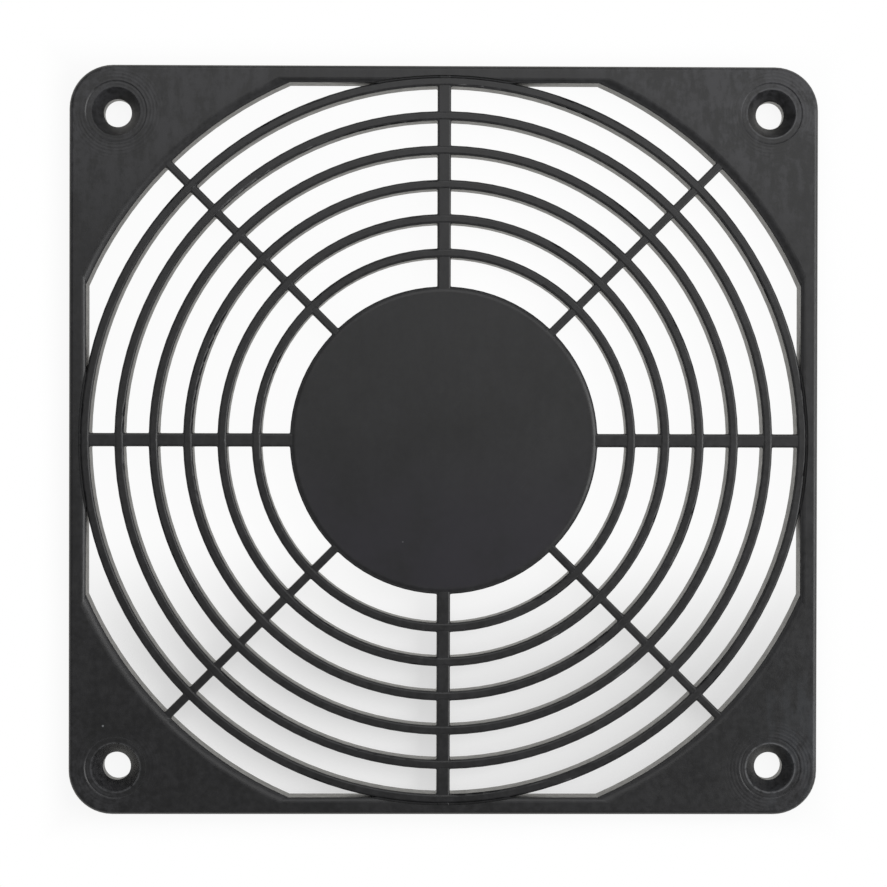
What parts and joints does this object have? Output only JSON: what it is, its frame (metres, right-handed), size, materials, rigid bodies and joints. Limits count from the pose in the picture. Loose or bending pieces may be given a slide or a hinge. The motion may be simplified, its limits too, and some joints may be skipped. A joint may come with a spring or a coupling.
{
  "type": "fan guard",
  "caption": "Square moulded plastic finger guard for a cooling fan: concentric rings and spokes around a solid disc, countersunk screw holes in the corners.",
  "frame": {"origin": "centre of the square frame, on the back face that lies against the fan", "axes": "+Z out of the face with the countersinks, +X and +Y along the sides of the square"},
  "size_m": [0.12, 0.12, 0.005],
  "materials": {
    "black_plastic": "satin black moulded plastic"
  },
  "bodies": {
    "root": {"fan_guard": "black_plastic"}
  },
  "joints": []
}
